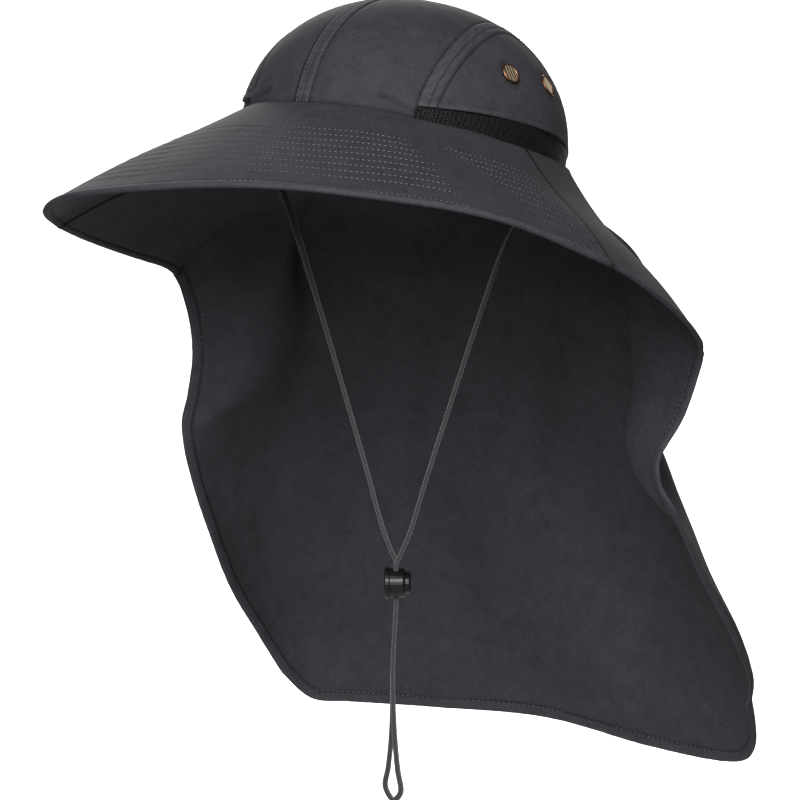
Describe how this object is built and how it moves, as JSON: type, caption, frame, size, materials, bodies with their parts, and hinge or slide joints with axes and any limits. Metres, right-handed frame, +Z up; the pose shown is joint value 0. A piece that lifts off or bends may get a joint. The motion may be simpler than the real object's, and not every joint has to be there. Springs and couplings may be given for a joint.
{
  "type": "bush hat with neck flap",
  "caption": "Wide-brimmed soft bush hat in worn form, with arched vented crown panels, quilted front brim, long neck flap and a chin cord with a spring cord lock",
  "frame": {"origin": "centre of the head opening, at the level where the hat sits on the head", "axes": "+Z up the wearer's head, -Y to the front of the hat, +X to the wearer's left"},
  "size_m": [0.3566, 0.3816, 0.4761],
  "materials": {
    "shell_cloth": "woven nylon, matt",
    "quilted_cloth": "woven nylon, quilted in rows, matt",
    "mesh_knit": "knit mesh, matt",
    "cord_braid": "flat braid, matt",
    "eyelet_metal": "copper-coloured plating, satin",
    "lock_plastic": "glossy black"
  },
  "bodies": {
    "hat": {"crown": "shell_cloth", "side_panel_left": "shell_cloth", "side_panel_right": "shell_cloth", "mesh_vent_left": "mesh_knit", "mesh_vent_right": "mesh_knit", "brim": "quilted_cloth", "neck_flap": "shell_cloth", "eyelet_left_front": "eyelet_metal", "eyelet_left_back": "eyelet_metal", "eyelet_right_front": "eyelet_metal", "eyelet_right_back": "eyelet_metal", "chin_cord": "cord_braid", "cord_lock_barrel": "lock_plastic"},
    "lock_button": {"cord_lock_button": "lock_plastic"}
  },
  "joints": [
    {"name": "lock_button_press", "type": "slide", "parent": "hat", "child": "lock_button", "axis": [-0.866, -0.5, 0], "range_m": [0, 0.0025], "stiffness_N_per_m": 300}
  ]
}
